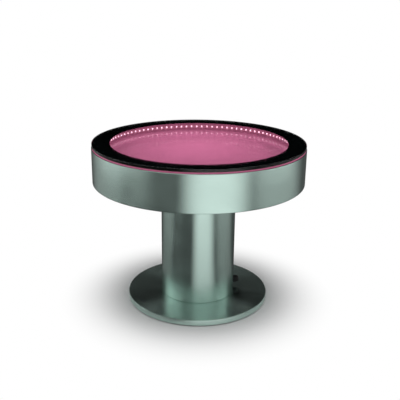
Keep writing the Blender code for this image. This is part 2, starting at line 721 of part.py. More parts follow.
def make_leads():
    """The three leads inside the table, each from the face of one piece to the face of the next."""
    up = Vector((0, 0, 1))
    sheath = plain_material("black PVC sheath", "161616", 0.5)

    out = polar(1, gland_azimuth, 0)
    riser = Vector((*riser_place(), 0))
    mouth = column_radius + 2 * seat_gap + gland_collar_height + gland_dome_length - lead_start_depth
    supply_middle = pan_top + seat_gap + supply_height / 2
    run_height = pan_top + grommet_collar_height + seat_gap + supply_lead_bend
    beside_supply = supply_length / 2 + ear_length + supply_lead_bend
    route = [out * mouth + up * gland_height, riser + up * gland_height, riser + up * run_height,
             Vector((beside_supply, riser.y, run_height)),
             Vector((beside_supply, supply_offset, supply_middle)),
             Vector((supply_length / 2 + seat_gap, supply_offset, supply_middle))]
    add_lead("supply_lead", route, supply_lead_bend, supply_lead_radius, sheath)

    controller_middle = pan_top + seat_gap + controller_height / 2
    route = [Vector((-supply_length / 2 - seat_gap, supply_offset, supply_middle)),
             Vector((-controller_offset, supply_offset, controller_middle)),
             Vector((-controller_offset, controller_shift + controller_length / 2 + seat_gap,
                     controller_middle))]
    add_lead("low_voltage_lead", route, low_voltage_lead_bend, low_voltage_lead_radius, sheath)

    side = (tray_outer_radius + drum_radius - drum_sheet) / 2
    level = well_floor + led_centre_height
    controller_end = controller_shift - controller_length / 2 - seat_gap
    route = [Vector((-controller_offset, controller_end, controller_middle)),
             Vector((-controller_offset, controller_end - controller_length, controller_middle)),
             polar(side, strip_feed_azimuth, controller_middle), polar(side, strip_feed_azimuth, level),
             polar(strip_radius + seat_gap, strip_feed_azimuth, level)]
    add_lead("strip_lead", route, strip_lead_bend, strip_lead_radius,
             plain_material("white PVC sheath", "DADAD6", 0.5))


for item in list(bpy.data.objects):
    bpy.data.objects.remove(item)

make_glass_lid()
make_seal()
make_tray()
make_light_strip()
make_drum()
make_pan(make_boxes())
make_column()
make_column_bolts()
make_base()
make_gland()
make_grommet()
make_leads()
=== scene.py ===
"""Looks of the round light-up table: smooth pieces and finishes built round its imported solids.

Metres, +Z up, in the solids' own frame. The table's axis is Z and the camera looks from -Y.
"""
import math

import bmesh
import bpy
from mathutils import Matrix, Quaternion, Vector


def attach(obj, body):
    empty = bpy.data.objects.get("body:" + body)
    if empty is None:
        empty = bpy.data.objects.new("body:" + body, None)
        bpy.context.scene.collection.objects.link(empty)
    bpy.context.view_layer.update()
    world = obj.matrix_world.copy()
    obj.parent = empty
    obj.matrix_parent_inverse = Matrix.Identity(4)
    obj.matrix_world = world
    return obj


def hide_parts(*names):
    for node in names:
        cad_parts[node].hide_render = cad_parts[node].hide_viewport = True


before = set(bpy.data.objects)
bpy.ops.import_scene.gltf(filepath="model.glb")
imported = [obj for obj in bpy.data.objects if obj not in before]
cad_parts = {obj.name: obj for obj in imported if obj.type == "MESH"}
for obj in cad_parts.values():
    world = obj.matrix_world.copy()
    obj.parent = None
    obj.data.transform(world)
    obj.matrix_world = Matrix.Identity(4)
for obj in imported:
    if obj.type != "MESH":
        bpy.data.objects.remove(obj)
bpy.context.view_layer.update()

MM = 0.001
WELD = 0.01 * MM             # vertices closer than this are one
BIG_SIDES = 240              # facets round the glass, the drum and the base
MID_SIDES = 144
SMALL_SIDES = 48

# Camera: the photograph's own view
IMAGE_SIZE = 400
FOCAL_PIXELS = 633.5
CAMERA_DISTANCE = 1.838
CAMERA_ELEVATION = 0.3214
CAMERA_ROLL = 0.0113
CAMERA_AIM_HEIGHT = 0.300
CENTRE_PIXEL = (198.5, 199.1)
SENSOR_WIDTH = 36.0


def colour(hex_code):
    """Linear RGBA from an sRGB hex code."""
    channels = [int(hex_code[start:start + 2], 16) / 255 for start in (0, 2, 4)]
    linear = [c / 12.92 if c <= 0.04045 else ((c + 0.055) / 1.055) ** 2.4 for c in channels]
    return (*linear, 1.0)


def add_node(tree, kind, inputs=None, **settings):
    """Add a node, set its properties, and give each named or numbered input a value or a link."""
    node = tree.nodes.new(kind)
    for name, value in settings.items():
        setattr(node, name, value)
    for name, value in (inputs or {}).items():
        if isinstance(value, bpy.types.NodeSocket):
            tree.links.new(value, node.inputs[name])
        else:
            node.inputs[name].default_value = value
    return node


def new_material(name):
    """Empty material with its output node."""
    material = bpy.data.materials.new(name)
    material.use_nodes = True
    tree = material.node_tree
    tree.nodes.clear()
    return material, tree, add_node(tree, "ShaderNodeOutputMaterial")


def round_coordinates(tree, along, across):
    """Pattern space for a turned piece: a step round the axis and a step across it, each in metres.

    The direction from the axis is scaled so that one unit of noise is one step, without a seam.
    """
    place = add_node(tree, "ShaderNodeTexCoord").outputs["Object"]
    parts = add_node(tree, "ShaderNodeSeparateXYZ", {0: place})
    flat = add_node(tree, "ShaderNodeCombineXYZ", {0: parts.outputs[0], 1: parts.outputs[1]})
    radius = add_node(tree, "ShaderNodeVectorMath", {0: flat.outputs[0]}, operation="LENGTH")
    heading = add_node(tree, "ShaderNodeVectorMath", {0: flat.outputs[0]}, operation="NORMALIZE")
    turned = add_node(tree, "ShaderNodeVectorMath",
                      {0: heading.outputs[0], "Scale": 1 / along}, operation="SCALE")
    reach = add_node(tree, "ShaderNodeMath", {0: radius.outputs["Value"], 1: parts.outputs[2]},
                     operation="ADD")
    level = add_node(tree, "ShaderNodeMath", {0: reach.outputs[0], 1: 1 / across}, operation="MULTIPLY")
    lift = add_node(tree, "ShaderNodeCombineXYZ", {2: level.outputs[0]})
    return add_node(tree, "ShaderNodeVectorMath", {0: turned.outputs[0], 1: lift.outputs[0]},
                    operation="ADD").outputs[0]


def satin_steel(name, roughness):
    """Stainless steel, brushed round the axis: it spreads highlights up and down into soft bands.

    The grain is really 0.1 mm; its lines are drawn 0.7 mm apart so that they show close up. The
    roughness stays below 0.27 everywhere: above it the noise filter takes the steel for a dull
    surface and leaves marks like cracks on it.
    """
    material, tree, output = new_material(name)
    grain = add_node(tree, "ShaderNodeTexNoise", {"Vector": round_coordinates(tree, 0.12, 0.7 * MM),
                                                  "Scale": 1.0, "Detail": 3.0, "Roughness": 0.6})
    cloud = add_node(tree, "ShaderNodeTexNoise", {"Vector": round_coordinates(tree, 0.35, 60 * MM),
                                                  "Scale": 1.0, "Detail": 2.0})
    rough = add_node(tree, "ShaderNodeMapRange", {"Value": cloud.outputs["Fac"], "From Min": 0.3,
                                                  "From Max": 0.7, "To Min": roughness - 0.03,
                                                  "To Max": roughness + 0.04})
    tone = add_node(tree, "ShaderNodeMapRange", {"Value": grain.outputs["Fac"], "From Min": 0.3,
                                                 "From Max": 0.7, "To Min": 0.965, "To Max": 1.0})
    tint = add_node(tree, "ShaderNodeMix", {"Factor": 1.0, "A": colour("CAE3DA"), "B": tone.outputs[0]},
                    data_type="RGBA", blend_type="MULTIPLY")
    relief = add_node(tree, "ShaderNodeBump", {"Strength": 0.05, "Distance": 0.05 * MM,
                                               "Height": grain.outputs["Fac"]})
    around = add_node(tree, "ShaderNodeTangent", direction_type="RADIAL", axis="Z")
    steel = add_node(tree, "ShaderNodeBsdfPrincipled", {
        "Base Color": tint.outputs["Result"], "Metallic": 1.0, "Roughness": rough.outputs[0],
        "Anisotropic": 1.0, "Anisotropic Rotation": 0.25, "Normal": relief.outputs[0],
        "Tangent": around.outputs[0]})
    tree.links.new(steel.outputs[0], output.inputs["Surface"])
    return material


def plated_steel(name, base, roughness, grain_size):
    """Zinc-plated mild steel: cool grey, with cloudy patches where the plating took differently."""
    material, tree, output = new_material(name)
    place = add_node(tree, "ShaderNodeTexCoord").outputs["Object"]
    patches = add_node(tree, "ShaderNodeTexVoronoi", {"Vector": place, "Scale": 1 / (grain_size * MM)},
                       feature="SMOOTH_F1")
    cloud = add_node(tree, "ShaderNodeTexNoise", {"Vector": place, "Scale": 1 / (30 * MM), "Detail": 3.0})
    tone = add_node(tree, "ShaderNodeMapRange", {"Value": patches.outputs["Distance"], "From Max": 0.8,
                                                 "To Min": 0.86, "To Max": 1.0})
    tint = add_node(tree, "ShaderNodeMix", {"Factor": 1.0, "A": colour(base), "B": tone.outputs[0]},
                    data_type="RGBA", blend_type="MULTIPLY")
    rough = add_node(tree, "ShaderNodeMapRange", {"Value": cloud.outputs["Fac"], "From Min": 0.3,
                                                  "From Max": 0.7, "To Min": roughness - 0.07,
                                                  "To Max": roughness + 0.1})
    relief = add_node(tree, "ShaderNodeBump", {"Strength": 0.2, "Distance": 0.05 * MM,
                                               "Height": cloud.outputs["Fac"]})
    steel = add_node(tree, "ShaderNodeBsdfPrincipled", {
        "Base Color": tint.outputs["Result"], "Metallic": 1.0, "Roughness": rough.outputs[0],
        "Normal": relief.outputs[0]})
    tree.links.new(steel.outputs[0], output.inputs["Surface"])
    return material


def grained(name, base, roughness, grain_size, relief_depth, metallic=0.0, spread=0.12):
    """Moulded or cast surface: one colour, with a fine grain in its relief, gloss and tone."""
    material, tree, output = new_material(name)
    place = add_node(tree, "ShaderNodeTexCoord").outputs["Object"]
    grain = add_node(tree, "ShaderNodeTexNoise", {"Vector": place, "Scale": 1 / (grain_size * MM),
                                                  "Detail": 4.0, "Roughness": 0.6})
    tone = add_node(tree, "ShaderNodeMapRange", {"Value": grain.outputs["Fac"], "From Min": 0.3,
                                                 "From Max": 0.7, "To Min": 1.0 - spread, "To Max": 1.0})
    tint = add_node(tree, "ShaderNodeMix", {"Factor": 1.0, "A": colour(base), "B": tone.outputs[0]},
                    data_type="RGBA", blend_type="MULTIPLY")
    rough = add_node(tree, "ShaderNodeMapRange", {"Value": grain.outputs["Fac"], "From Min": 0.3,
                                                  "From Max": 0.7, "To Min": roughness - 0.06,
                                                  "To Max": roughness + 0.06})
    relief = add_node(tree, "ShaderNodeBump", {"Strength": 0.6, "Distance": relief_depth * MM,
                                               "Height": grain.outputs["Fac"]})
    surface = add_node(tree, "ShaderNodeBsdfPrincipled", {
        "Base Color": tint.outputs["Result"], "Metallic": metallic, "Roughness": rough.outputs[0],
        "Normal": relief.outputs[0]})
    tree.links.new(surface.outputs[0], output.inputs["Surface"])
    return material


def clear_solid(name, base, roughness, ior, glow=None, glow_strength=0.0):
    """Clear solid that bends light, and lets the lamps' light straight through for the shadows; any glow is
    painted light.
    """
    material, tree, output = new_material(name)
    settings = {"Base Color": colour(base), "Roughness": roughness, "IOR": ior,
                "Transmission Weight": 1.0}
    if glow:
        settings.update({"Emission Color": colour(glow), "Emission Strength": glow_strength})
    solid = add_node(tree, "ShaderNodeBsdfPrincipled", settings)
    open_way = add_node(tree, "ShaderNodeBsdfTransparent", {"Color": colour(base)})
    path = add_node(tree, "ShaderNodeLightPath")
    mix = add_node(tree, "ShaderNodeMixShader", {0: path.outputs["Is Shadow Ray"], 1: solid.outputs[0],
                                                 2: open_way.outputs[0]})
    tree.links.new(mix.outputs[0], output.inputs["Surface"])
    return material


def black_band(name):
    """Ceramic ink fired on the glass: near black, with a faint cool unevenness from the screen."""
    material, tree, output = new_material(name)
    place = add_node(tree, "ShaderNodeTexCoord").outputs["Object"]
    mesh_marks = add_node(tree, "ShaderNodeTexNoise", {"Vector": place, "Scale": 1 / (1.2 * MM),
                                                       "Detail": 2.0})
    tint = add_node(tree, "ShaderNodeMix", {"Factor": mesh_marks.outputs["Fac"], "A": colour("040506"),
                                            "B": colour("0A0C0D")}, data_type="RGBA")
    ink = add_node(tree, "ShaderNodeBsdfPrincipled", {"Base Color": tint.outputs["Result"],
                                                      "Roughness": 0.5, "Specular IOR Level": 0.0})
    tree.links.new(ink.outputs[0], output.inputs["Surface"])
    return material


def lit_opal(name):
    """Opal acrylic, white and polished, lit from its rim: its pink base colour and its glow are painted
    light from the lamps, painted duller at the wall and in front.

    A painted pool of light makes it brightest round a spot a little behind the middle, and painted light
    brightens the strip of wall over the lamps.
    """
    material, tree, output = new_material(name)
    place = add_node(tree, "ShaderNodeTexCoord").outputs["Object"]
    parts = add_node(tree, "ShaderNodeSeparateXYZ", {0: place})
    flat = add_node(tree, "ShaderNodeCombineXYZ", {0: parts.outputs[0], 1: parts.outputs[1]})
    radius = add_node(tree, "ShaderNodeVectorMath", {0: flat.outputs[0]}, operation="LENGTH")
    share = add_node(tree, "ShaderNodeMapRange", {"Value": radius.outputs["Value"],
                                                  "From Max": OPAL_EDGE})
    cloud = add_node(tree, "ShaderNodeTexNoise", {"Vector": place, "Scale": 1 / (45 * MM), "Detail": 2.0})
    # painted glow, falling off from the middle over the wall to the flange's edge
    ramp = add_node(tree, "ShaderNodeValToRGB", {0: share.outputs[0]})
    set_stops(ramp, [(reached, [level * part for part in colour(OPAL_GLOW_PINK)[:3]])
                     for reached, level in OPAL_FALLOFF])
    # painted pool of light, brightest round a spot a little behind the middle
    from_bright = add_node(tree, "ShaderNodeVectorMath", {0: flat.outputs[0], 1: OPAL_BRIGHT_SPOT},
                           operation="DISTANCE")
    bright = add_node(tree, "ShaderNodeMapRange", {
        "Value": from_bright.outputs["Value"], "From Max": OPAL_BRIGHT_REACH, "To Min": 1.46,
        "To Max": 0.80}, interpolation_type="SMOOTHSTEP")
    uneven = add_node(tree, "ShaderNodeMapRange", {"Value": cloud.outputs["Fac"], "From Min": 0.3,
                                                   "From Max": 0.7, "To Min": 0.95, "To Max": 1.05})
    # painted brighter band on the wall over the lamps
    upper = add_node(tree, "ShaderNodeMapRange", {
        "Value": parts.outputs[2], "From Min": LAMP_HEIGHT + 2 * MM, "From Max": LAMP_HEIGHT + 8 * MM,
        "To Min": 1.0, "To Max": 1.45})
    level = add_node(tree, "ShaderNodeMath", {0: uneven.outputs[0], 1: bright.outputs[0]},
                     operation="MULTIPLY")
    level = add_node(tree, "ShaderNodeMath", {0: level.outputs[0], 1: upper.outputs[0]},
                     operation="MULTIPLY")
    glow = add_node(tree, "ShaderNodeMix", {"Factor": 1.0, "A": ramp.outputs[0], "B": level.outputs[0]},
                    data_type="RGBA", blend_type="MULTIPLY")
    # the pink base colour is painted lamp light on white acrylic
    opal = add_node(tree, "ShaderNodeBsdfPrincipled", {
        "Base Color": colour("8E4A66"), "Roughness": 0.13, "IOR": 1.49,
        "Emission Color": glow.outputs["Result"], "Emission Strength": 1.0})
    tree.links.new(opal.outputs[0], output.inputs["Surface"])
    return material


def glowing(name, base, glow, strength, roughness=0.4):
    """A glowing piece: a lamp's lens, which is a lamp, or a lamp-lit piece with painted pink light and
    glow.
    """
    material, tree, output = new_material(name)
    place = add_node(tree, "ShaderNodeTexCoord").outputs["Object"]
    cloud = add_node(tree, "ShaderNodeTexNoise", {"Vector": place, "Scale": 1 / (3 * MM), "Detail": 1.0})
    tint = add_node(tree, "ShaderNodeMix", {"Factor": cloud.outputs["Fac"], "A": colour(glow),
                                            "B": colour(base)}, data_type="RGBA")
    lit = add_node(tree, "ShaderNodeBsdfPrincipled", {
        "Base Color": colour(base), "Roughness": roughness,
        "Emission Color": tint.outputs["Result"], "Emission Strength": strength})
    tree.links.new(lit.outputs[0], output.inputs["Surface"])
    return material


def set_stops(ramp, stops):
    """Give a colour ramp its stops, each a position and the linear red, green and blue."""
    elements = ramp.color_ramp.elements
    ramp.color_ramp.interpolation = "EASE"
    while len(elements) > 1:
        elements.remove(elements[-1])
    for number, (position, value) in enumerate(stops):
        element = elements[0] if number == 0 else elements.new(position)
        element.position = position
        element.color = (*value, 1.0)


def arc(centre_radius, centre_height, radius, start_degrees, end_degrees, steps=6):
    """Outline points along a round corner, from one angle to another."""
    points = []
    for step in range(steps + 1):
        angle = math.radians(start_degrees + (end_degrees - start_degrees) * step / steps)
        points.append((centre_radius + radius * math.cos(angle), centre_height + radius * math.sin(angle)))
    return points


def spun(outline, sides, closed=True):
    """Spin an outline of (radius, height) points once round Z.

    One that starts on the axis closes there; any other is a closed section, or an open one if asked.
    """
    bm = bmesh.new()
    points = [bm.verts.new((radius, 0, height)) for radius, height in outline]
    edges = [bm.edges.new(pair) for pair in zip(points, points[1:])]
    if closed and outline[0][0] > 0:
        edges.append(bm.edges.new((points[-1], points[0])))
    bmesh.ops.spin(bm, geom=points + edges, cent=(0, 0, 0), axis=(0, 0, 1), angle=math.tau,
                   steps=sides, use_merge=True)
    return bm


def finished(bm, name, material, body, replaced=(), sharp=38):
    """Turn a bmesh into a smooth-shaded piece that rides on a body and stands for its nodes."""
    bmesh.ops.remove_doubles(bm, verts=bm.verts, dist=WELD)
    bmesh.ops.recalc_face_normals(bm, faces=bm.faces)
    mesh = bpy.data.meshes.new(name)
    bm.to_mesh(mesh)
    bm.free()
    mesh.shade_smooth()
    mesh.set_sharp_from_angle(angle=math.radians(sharp))
    mesh.materials.append(material)
    piece = bpy.data.objects.new(name, mesh)
    bpy.context.scene.collection.objects.link(piece)
    if body:
        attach(piece, body)
    if replaced:
        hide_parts(*replaced)
    return piece


# Sizes, the same as the solids' own
GLASS_RADIUS = 0.300
GLASS_BOTTOM = 0.466
GLASS_TOP = 0.474
WELL_RADIUS = 0.265
WELL_FLOOR = 0.4425
DRUM_RADIUS = 0.3012
DRUM_BOTTOM = 0.3607
DRUM_TOP = 0.4615
COLUMN_RADIUS = 0.1075
COLUMN_BOTTOM = 0.0193
COLUMN_TOP = 0.3622
BASE_RADIUS = 0.2065
BASE_TOP = 0.019
SEAT_GAP = 0.3 * MM          # between two pieces that touch
EASE = 0.4 * MM              # flat kept beside a rounded edge, so that its shading stays there

LAMP_HEIGHT = 0.453
LAMP_PITCH = 0.0165

# The lit opal's painted glow: its pink, and how bright it is painted from the middle over the wall
# to the flange's edge, with a painted pool of light round a spot a little behind the middle
OPAL_EDGE = 0.2994
OPAL_BRIGHT_SPOT = (0, 0.09, 0)
OPAL_BRIGHT_REACH = 0.32
OPAL_GLOW_PINK = "D5719A"
OPAL_FALLOFF = [(0.0, 1.0), (0.60, 0.92), (0.75, 0.75), (0.885, 0.57), (0.97, 0.17)]

# Light round the table as its metal and glass see it: a tent of plain grey cloth with white softboxes.
# Each softbox has its direction in degrees to the right of the camera, half its width in degrees, the
# heights of its lower and upper edge, and its level. One whose lower edge is 0 lights the floor too.
SOFTBOXES = [(16, 15, 0.0, 0.45, 0.75),      # key light, low in front on the right
             (0, 45, 0.55, 0.65, 0.6),       # front fill over it
             (-105, 15, 0.0, 0.45, 0.15),    # low fill on the left and the right
             (85, 20, 0.0, 0.45, 0.2),
             (-80, 24, 0.4, 0.48, 1.6),      # a softbox over each
             (72, 18, 0.4, 0.48, 1.2)]
SOFTBOX_EDGE = 22.0          # degrees over which a softbox fades out
SOFTBOX_RIM = 0.12           # and metres
CLOTH_LEVEL = 0.07
FLOOR_SHARE = 0.6            # light on the tent's floor at the table, as a share of that at its wall
PANEL_HEIGHT_FRONT = 1.5     # where the cloth turns black
PANEL_HEIGHT_SIDE = 0.73
PANEL_HEIGHT_BACK = 0.6
TENT_GAIN = 1.25             # strengths of the cloth with its softboxes, the lit top, the roof light
CEILING_GAIN = 0.19
ROOF_GAIN = 0.7
WORLD_LEVEL = 0.45           # light on all that doesn't mirror, from all round and from above
OVERHEAD_POWER = 34.0


def make_glass(material, band_material):
    """Glass disc with a ground edge, and the ink ring on its underside."""
    arris = 1.2 * MM
    edge = GLASS_RADIUS - arris
    outline = [(0, GLASS_BOTTOM), (edge - EASE, GLASS_BOTTOM),
               *arc(edge, GLASS_BOTTOM + arris, arris, -90, 0),
               *arc(edge, GLASS_TOP - arris, arris, 0, 90), (edge - EASE, GLASS_TOP), (0, GLASS_TOP)]
    finished(spun(outline, BIG_SIDES), "glass_disc", material, "glass_lid", ["glass_top"])
    low, high, inner, outer = 0.4654, 0.4657, 0.250, 0.2985
    outline = [(inner, low), (outer, low), (outer, high), (inner, high)]
    finished(spun(outline, BIG_SIDES), "black_rim_band", band_material, "glass_lid", ["glass_border"])


def make_seal(material):
    """Clear seal with a soft round section at both its edges."""
    low, high, inner, outer = 0.4641, 0.4651, 0.287, 0.299
    middle, half = (low + high) / 2, (high - low) / 2
    outline = [*arc(outer - half, middle, half, -90, 90), *arc(inner + half, middle, half, 90, 270)]
    finished(spun(outline, BIG_SIDES), "clear_seal_ring", material, "table", ["glass_seal"])


def make_tray(material):
    """Shallow well with rounded corners and a flange that lies on the drum's lip."""
    tray_wall, bottom, flange_low, flange_high, flange_radius = 0.002, 0.4405, 0.4618, 0.4638, OPAL_EDGE
    outer, corner, edge = WELL_RADIUS + tray_wall, 2 * MM, 0.5 * MM
    outline = [(0, bottom), (outer - tray_wall - EASE, bottom),
               *arc(outer - tray_wall, bottom + tray_wall, tray_wall, -90, 0), (outer, flange_low - EASE),
               (outer, flange_low), (flange_radius - edge - EASE, flange_low),
               *arc(flange_radius - edge, flange_low + edge, edge, -90, 0, 3),
               *arc(flange_radius - edge, flange_high - edge, edge, 0, 90, 3),
               (WELL_RADIUS + edge + EASE, flange_high),
               *arc(WELL_RADIUS + edge, flange_high - edge, edge, 90, 180, 3),
               (WELL_RADIUS, WELL_FLOOR + corner + EASE),
               *arc(WELL_RADIUS - corner, WELL_FLOOR + corner, corner, 0, -90),
               (WELL_RADIUS - corner - EASE, WELL_FLOOR), (0, WELL_FLOOR)]
    finished(spun(outline, BIG_SIDES), "opal_tray", material, "table", ["diffuser_tray"])


def make_strip(strip_material, body_material, lens_material):
    """Flexible strip on its edge round the wall, with a moulded lamp and its domed lens at each pitch."""
    outer, thickness, height, gap = 0.2645, 0.001, 0.010, 0.006
    low, high = LAMP_HEIGHT - height / 2, LAMP_HEIGHT + height / 2
    opening = gap / outer
    lamps = int((math.tau - opening) * outer / LAMP_PITCH)
    cell = (math.tau - opening) / lamps
    start = -math.pi / 2 + opening / 2
    face = outer - thickness
    bm = bmesh.new()
    section = [(face, low), (outer, low), (outer, high), (face, high)]
    points = [bm.verts.new((r * math.cos(start), r * math.sin(start), z)) for r, z in section]
    edges = [bm.edges.new(pair) for pair in zip(points, points[1:] + points[:1])]
    swept = bmesh.ops.spin(bm, geom=points + edges, cent=(0, 0, 0), axis=(0, 0, 1),
                           angle=math.tau - opening, steps=2 * lamps)
    last = [item for item in swept["geom_last"] if isinstance(item, bmesh.types.BMEdge)]
    for end in (edges, last):
        bmesh.ops.contextual_create(bm, geom=end)
    finished(bm, "lamp_strip_band", strip_material, "table", ["led_strip"])

    housings, lenses = bmesh.new(), bmesh.new()
    size, rise, wall, sunk = 0.005, 0.0016, 0.7 * MM, 0.5 * MM
    lens_radius, lens_bulge = 2.1 * MM, 0.45
    for lamp in range(lamps):
        azimuth = start + (lamp + 0.5) * cell
        stand = (Matrix.Rotation(azimuth, 4, "Z") @ Matrix.Translation((face, 0, LAMP_HEIGHT))
                 @ Matrix.Rotation(-math.pi / 2, 4, "Y"))
        made = bmesh.ops.create_cube(housings, size=1)["verts"]
        bmesh.ops.scale(housings, verts=made, vec=(size, size, rise))
        bmesh.ops.translate(housings, verts=made, vec=(0, 0, rise / 2))
        front = max((item for vertex in made for item in vertex.link_faces),
                    key=lambda item: item.calc_center_median().z)
        bmesh.ops.inset_individual(housings, faces=[front], thickness=wall, depth=-sunk)
        fresh = [vertex for vertex in housings.verts if not vertex.tag]
        bmesh.ops.transform(housings, matrix=stand, verts=fresh)
        for vertex in fresh:
            vertex.tag = True
        dome = stand @ Matrix.Translation((0, 0, rise - sunk)) @ Matrix.Diagonal((1, 1, lens_bulge, 1))
        bmesh.ops.create_uvsphere(lenses, u_segments=10, v_segments=6, radius=lens_radius, matrix=dome)
    finished(housings, "lamp_housings", body_material, "table")
    finished(lenses, "lamp_lenses", lens_material, "table")


def make_drum(material):
    """Rolled band with a lip turned in at each end: a tight fold at the top, a rounder one below."""
    sheet, corner, fold = 1.5 * MM, 3 * MM, 1.6 * MM
    centre, fold_centre = DRUM_RADIUS - corner, DRUM_RADIUS - fold
    low, high = DRUM_BOTTOM + corner, DRUM_TOP - fold
    lip_low, lip_high = 0.2812, 0.2792
    outline = [(lip_low, DRUM_BOTTOM), (centre - EASE, DRUM_BOTTOM), *arc(centre, low, corner, -90, 0),
               (DRUM_RADIUS, low + EASE), (DRUM_RADIUS, high - EASE), *arc(fold_centre, high, fold, 0, 90),
               (fold_centre - EASE, DRUM_TOP), (lip_high, DRUM_TOP), (lip_high, DRUM_TOP - sheet),
               (DRUM_RADIUS - sheet, DRUM_TOP - sheet), (DRUM_RADIUS - sheet, low + EASE),
               *arc(centre, low, corner - sheet, 0, -90), (centre - EASE, DRUM_BOTTOM + sheet),
               (lip_low, DRUM_BOTTOM + sheet)]
    finished(spun(outline, BIG_SIDES), "steel_drum", material, "table", ["drum_shell"])


def make_column(material):
    """Rolled tube with a shadow groove round its foot, where it stands on the base."""
    wall, ease, groove, depth = 1.5 * MM, 0.3 * MM, 1.1 * MM, 1.1 * MM
    outer, inner = COLUMN_RADIUS, COLUMN_RADIUS - wall
    foot = COLUMN_BOTTOM + groove
    outline = [(inner, COLUMN_BOTTOM), (outer - depth, COLUMN_BOTTOM), (outer - depth, foot),
               (outer - ease, foot), (outer, foot + ease), (outer, foot + 2 * ease),
               (outer, COLUMN_TOP - 2 * ease), (outer, COLUMN_TOP - ease),
               (outer - ease, COLUMN_TOP), (inner, COLUMN_TOP)]
    finished(spun(outline, MID_SIDES), "steel_column", material, "table", ["column_tube"])


def make_base(material):
    """Spun cover with a tight corner, open below and hollow as pressed sheet is."""
    sheet, corner, rim = 1.5 * MM, 2 * MM, 3 * MM
    centre = BASE_RADIUS - corner
    high = BASE_TOP - corner
    outline = [(0, BASE_TOP), (centre - EASE, BASE_TOP), *arc(centre, high, corner, 90, 0, 8),
               (BASE_RADIUS, high - EASE), (BASE_RADIUS, rim + 0.3 * MM), (BASE_RADIUS - 0.3 * MM, rim),
               (BASE_RADIUS - sheet, rim), (BASE_RADIUS - sheet, high - EASE),
               *arc(centre, high, corner - sheet, 0, 90, 8), (centre - EASE, BASE_TOP - sheet),
               (0, BASE_TOP - sheet)]
    finished(spun(outline, BIG_SIDES), "steel_base_cover", material, "table", ["base_cover"])


def hexagon_nut(outline, across_flats):
    """Spin an outline, then cut its collar to six flats with planes."""
    bm = spun(outline, SMALL_SIDES)
    for side in range(6):
        angle = side * math.pi / 3 + math.pi / 6
        normal = Vector((math.cos(angle), math.sin(angle), 0))
        cut = bmesh.ops.bisect_plane(bm, geom=bm.verts[:] + bm.edges[:] + bm.faces[:],
                                     plane_co=normal * across_flats / 2, plane_no=normal,
                                     clear_outer=True)
        edges = [item for item in cut["geom_cut"] if isinstance(item, bmesh.types.BMEdge)]
        bmesh.ops.contextual_create(bm, geom=edges)
    return bm


def make_gland(material, rubber):
    """Moulded cord gland: chamfered hexagon collar, fluted dome nut and its rubber sealing ring."""
    azimuth, height = math.radians(10), 0.039
    face = COLUMN_RADIUS + SEAT_GAP
    place = (Matrix.Translation((face * math.cos(azimuth), face * math.sin(azimuth), height))
             @ Matrix.Rotation(azimuth, 4, "Z") @ Matrix.Rotation(math.pi / 2, 4, "Y"))
    corner, flats, collar = 0.0121244, 0.021, 0.005
    bore, thread, inner_end, outer_end = 0.004, 0.0076, -0.010, 0.012
    ease, lead_in = 0.8 * MM, 0.4 * MM
    outline = [(bore, inner_end), (thread - lead_in, inner_end), (thread, inner_end + lead_in), (thread, 0),
               (corner - ease, 0), (corner, ease * 0.5), (corner, collar - ease), (corner - ease, collar),
               (thread, collar), (thread, outer_end - lead_in), (thread - lead_in, outer_end),
               (bore, outer_end)]
    body = hexagon_nut(outline, flats)
    bmesh.ops.transform(body, matrix=place, verts=body.verts)
    finished(body, "gland_hexagon_body", material, "table", ["gland_body"], sharp=30)

    clear, seat = 0.0081, 0.0073
    outline = [(clear, 0), (0.0096, 0), (0.0100, 0.0004), (0.0100, 0.0062), (0.0098, 0.0072),
               (0.0086, 0.0098), (0.0074, 0.0114), (0.0066, 0.0123), (0.0060, 0.0125), (0.0052, 0.0124),
               (0.0047, 0.0118), (0.0045, 0.0108), (bore, 0.0106), (bore, seat), (clear, seat)]
    dome = spun(outline, 72)
    flutes, flute_depth, grip_radius, grip_end = 12, 0.6 * MM, 0.0094, 0.0065
    for vertex in dome.verts:
        radius = vertex.co.xy.length
        if radius > grip_radius and vertex.co.z < grip_end:
            turn = math.atan2(vertex.co.y, vertex.co.x) * flutes / math.tau
            dent = max(0.0, math.cos((turn % 1.0 - 0.5) * math.tau)) ** 2
            vertex.co.xy *= 1 - flute_depth * dent / radius
    bmesh.ops.translate(dome, verts=dome.verts, vec=(0, 0, collar + SEAT_GAP))
    bmesh.ops.transform(dome, matrix=place, verts=dome.verts)
    finished(dome, "gland_fluted_nut", material, "table", ["gland_dome_nut"], sharp=40)

    ring_radius, ring_height, ring_thickness = 0.0042, 0.0096, 0.0005
    outline = arc(ring_radius, collar + ring_height, ring_thickness, 0, 360, 8)[:-1]
    ring = spun(outline, SMALL_SIDES)
    bmesh.ops.transform(ring, matrix=place, verts=ring.verts)
    finished(ring, "gland_sealing_ring", rubber, "table")


